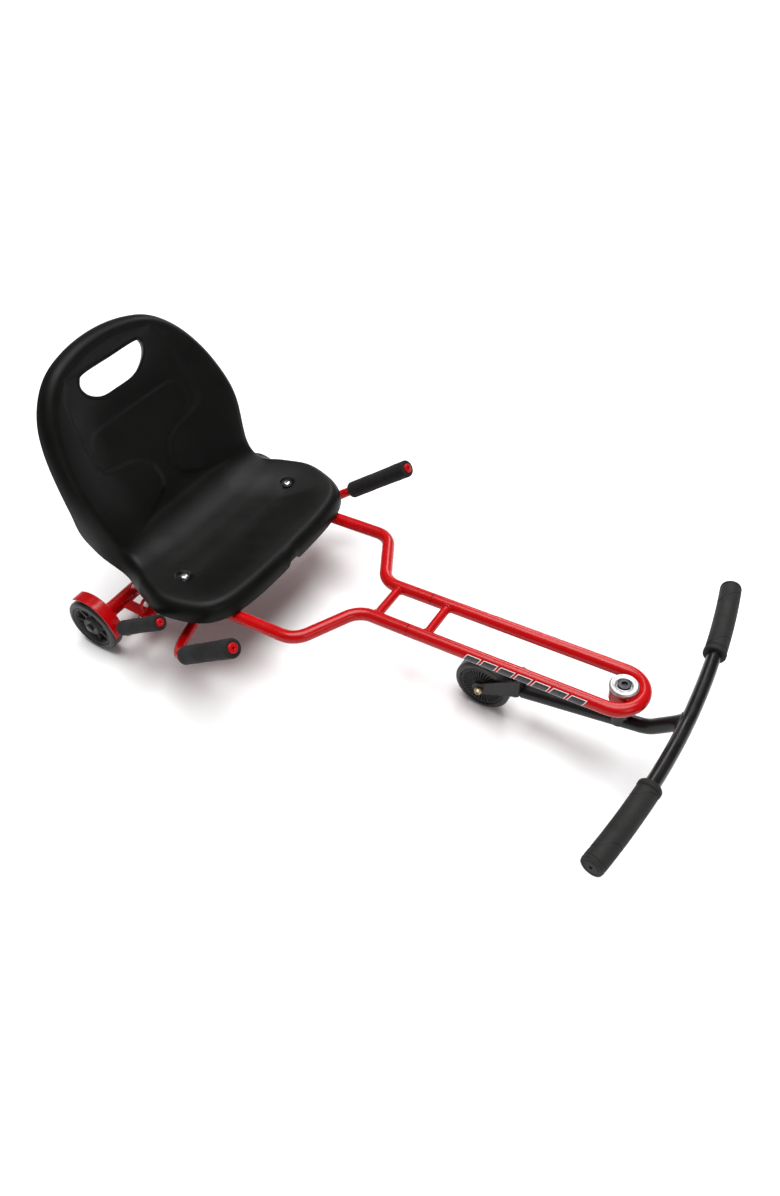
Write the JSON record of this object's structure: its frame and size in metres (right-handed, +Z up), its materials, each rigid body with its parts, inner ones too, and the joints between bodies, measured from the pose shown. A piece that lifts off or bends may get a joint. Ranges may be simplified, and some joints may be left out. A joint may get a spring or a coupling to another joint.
{
  "type": "foot-steered ride-on kart",
  "caption": "Low ride-on kart: moulded bucket seat on a welded tube frame with telescoping front loop, foot steering bar, hand brake and small wheels.",
  "frame": {"origin": "on the ground under the middle of the kart's overall box, in its plane of symmetry", "axes": "+Z up, -Y forward from the seat towards the foot bar, +X to the rider's left"},
  "size_m": [0.5392, 1.0029, 0.4307],
  "materials": {
    "red_paint": "gloss red powder coat",
    "black_paint": "satin black powder coat",
    "seat_plastic": "satin blow-moulded plastic",
    "wheel_plastic": "satin moulded nylon",
    "foam": "matt closed-cell foam",
    "grip_rubber": "matt moulded rubber",
    "tyre": "satin urethane",
    "zinc_steel": "bright zinc plate",
    "black_steel": "black oxide",
    "aluminium": "turned and clear anodised",
    "brass": "yellow passivated plate"
  },
  "bodies": {
    "rear_frame": {"brake_bracket": "red_paint", "brake_spring": "zinc_steel", "foam_grip_left": "foam", "foam_grip_right": "foam", "handle_bar": "red_paint", "handle_plug_left": "red_paint", "handle_plug_right": "red_paint", "rear_axle_bolt_left": "zinc_steel", "rear_axle_bolt_right": "zinc_steel", "rear_frame": "red_paint", "rear_washer_left": "zinc_steel", "rear_washer_right": "zinc_steel", "seat_bolt_left": "zinc_steel", "seat_bolt_right": "zinc_steel", "seat_riser_left": "red_paint", "seat_riser_right": "red_paint", "seat_shell": "seat_plastic", "seat_washer_left": "zinc_steel", "seat_washer_right": "zinc_steel", "spigot_left": "zinc_steel", "spigot_right": "zinc_steel"},
    "front_loop": {"front_loop": "red_paint", "lock_screw_left": "zinc_steel", "lock_screw_right": "zinc_steel", "head_bearing_upper": "zinc_steel", "head_bearing_lower": "zinc_steel"},
    "steering": {"steering_arm": "black_paint", "foot_bar": "black_paint", "head_cap": "aluminium", "king_bolt": "black_steel", "king_washer": "black_steel", "foot_grip_left": "grip_rubber", "foot_grip_right": "grip_rubber", "grip_end_left": "grip_rubber", "grip_end_right": "grip_rubber", "front_axle_bolt": "zinc_steel", "front_axle_nut": "brass", "fork_spacer_left": "zinc_steel", "fork_spacer_right": "zinc_steel"},
    "front_wheel": {"front_tyre": "tyre", "front_core": "wheel_plastic", "front_bearing_left": "zinc_steel", "front_bearing_right": "zinc_steel", "front_spacer": "zinc_steel"},
    "rear_wheel_left": {"rear_left_bearing_left": "zinc_steel", "rear_left_bearing_right": "zinc_steel", "rear_left_core": "wheel_plastic", "rear_left_spacer": "zinc_steel", "rear_left_tyre": "tyre"},
    "rear_wheel_right": {"rear_right_bearing_left": "zinc_steel", "rear_right_bearing_right": "zinc_steel", "rear_right_core": "wheel_plastic", "rear_right_spacer": "zinc_steel", "rear_right_tyre": "tyre"},
    "brake_lever": {"brake_lever": "red_paint", "brake_shoe": "red_paint", "brake_foam_grip": "foam", "brake_plug": "red_paint"}
  },
  "joints": [
    {"name": "loop_slide", "type": "slide", "parent": "rear_frame", "child": "front_loop", "axis": [0, -0.9972, 0.0752], "range_m": [0, 0.08]},
    {"name": "steering_turn", "type": "hinge", "parent": "front_loop", "child": "steering", "pos_m": [0, -0.4005, 0.1541], "axis": [0, 0.0752, 0.9972], "range_deg": [-60, 60]},
    {"name": "front_wheel_spin", "type": "hinge", "parent": "steering", "child": "front_wheel", "pos_m": [0, -0.1981, 0.0449], "axis": [1, 0, 0], "continuous": true},
    {"name": "rear_wheel_left_spin", "type": "hinge", "parent": "rear_frame", "child": "rear_wheel_left", "pos_m": [0.2207, 0.3903, 0.0476], "axis": [1, 0, 0], "continuous": true},
    {"name": "rear_wheel_right_spin", "type": "hinge", "parent": "rear_frame", "child": "rear_wheel_right", "pos_m": [-0.2207, 0.3903, 0.0476], "axis": [1, 0, 0], "continuous": true},
    {"name": "brake_lever_pull", "type": "hinge", "parent": "rear_frame", "child": "brake_lever", "pos_m": [-0.18, 0.3321, 0.0464], "axis": [1, 0, 0], "range_deg": [-6, 0], "stiffness_Nm_per_rad": 0.6, "springref_deg": 11.46}
  ]
}
